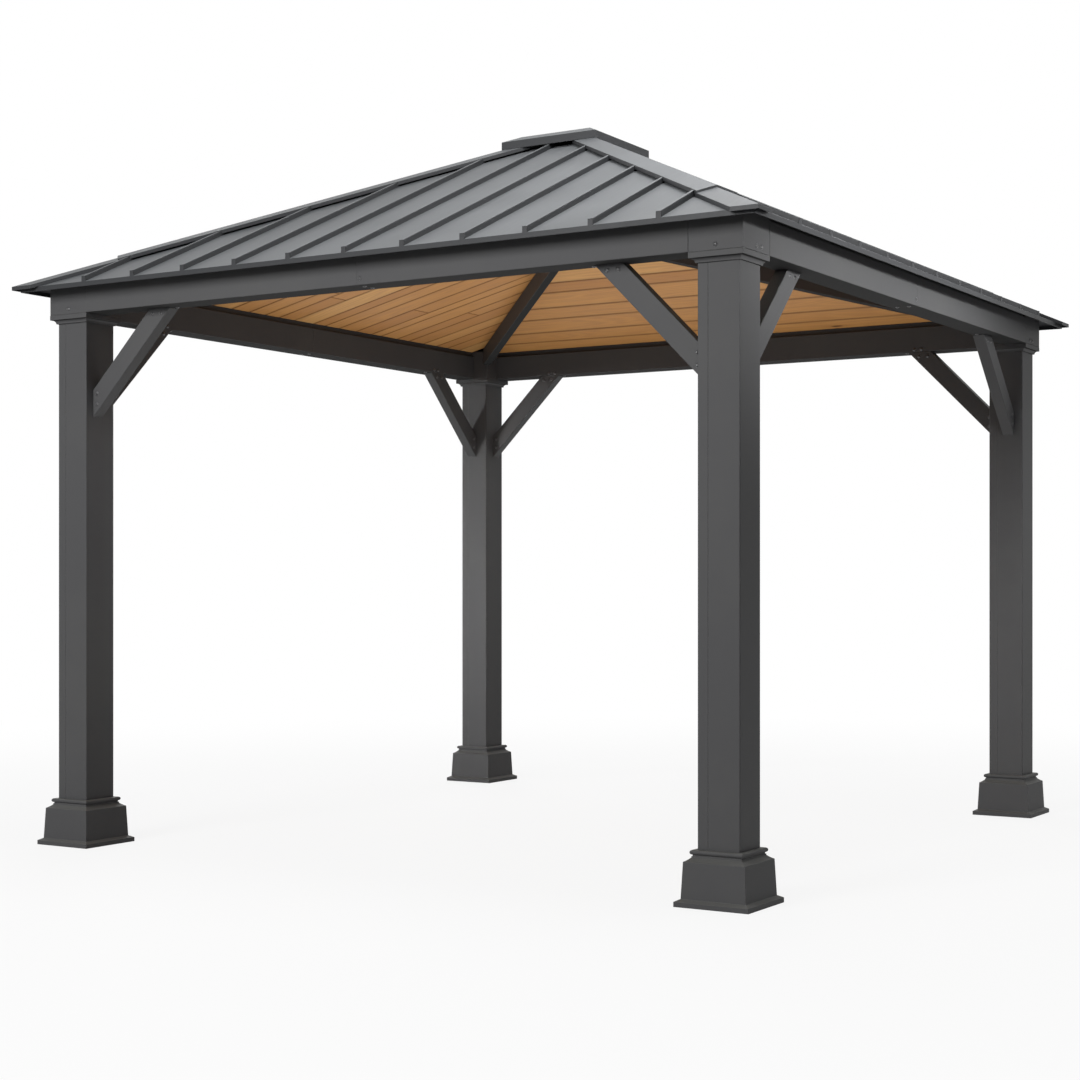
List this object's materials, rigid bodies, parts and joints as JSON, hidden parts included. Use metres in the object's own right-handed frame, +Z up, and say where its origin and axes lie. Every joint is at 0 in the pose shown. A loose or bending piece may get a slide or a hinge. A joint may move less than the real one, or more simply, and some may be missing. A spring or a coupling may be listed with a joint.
{
  "type": "hip-roofed steel garden pavilion",
  "caption": "Open-sided square steel garden pavilion: boxed posts on moulded plinths, knee braces, ribbed sheet hip roof with a crown cap, and a boarded wood ceiling.",
  "frame": {"origin": "middle of the plan at ground level, under the centre of the roof", "axes": "+Z up, +X to the right along the front, -Y is the front side, which faces the picture's viewer"},
  "size_m": [3.402, 3.402, 3.0457],
  "materials": {
    "frame": "satin charcoal powder coat",
    "roof_sheet": "satin grey coated steel sheet",
    "ceiling_boards": "warm cedar boards with a satin stain"
  },
  "bodies": {
    "root": {"post_front_right": "frame", "post_plinth_front_right": "frame", "post_capital_front_right": "frame", "corner_box_front_right": "frame", "beam_front": "frame", "knee_brace_front_front_right": "frame", "knee_brace_right_front_right": "frame", "hip_rafter_front_right": "frame", "ceiling_front": "ceiling_boards", "roof_slope_front": "roof_sheet", "hip_cap_front_right": "roof_sheet", "post_back_right": "frame", "post_plinth_back_right": "frame", "post_capital_back_right": "frame", "corner_box_back_right": "frame", "beam_right": "frame", "knee_brace_right_back_right": "frame", "knee_brace_back_back_right": "frame", "hip_rafter_back_right": "frame", "ceiling_right": "ceiling_boards", "roof_slope_right": "roof_sheet", "hip_cap_back_right": "roof_sheet", "post_back_left": "frame", "post_plinth_back_left": "frame", "post_capital_back_left": "frame", "corner_box_back_left": "frame", "beam_back": "frame", "knee_brace_back_back_left": "frame", "knee_brace_left_back_left": "frame", "hip_rafter_back_left": "frame", "ceiling_back": "ceiling_boards", "roof_slope_back": "roof_sheet", "hip_cap_back_left": "roof_sheet", "post_front_left": "frame", "post_plinth_front_left": "frame", "post_capital_front_left": "frame", "corner_box_front_left": "frame", "beam_left": "frame", "knee_brace_left_front_left": "frame", "knee_brace_front_front_left": "frame", "hip_rafter_front_left": "frame", "ceiling_left": "ceiling_boards", "roof_slope_left": "roof_sheet", "hip_cap_front_left": "roof_sheet", "rafter_hub": "frame", "top_cap": "roof_sheet"}
  },
  "joints": []
}
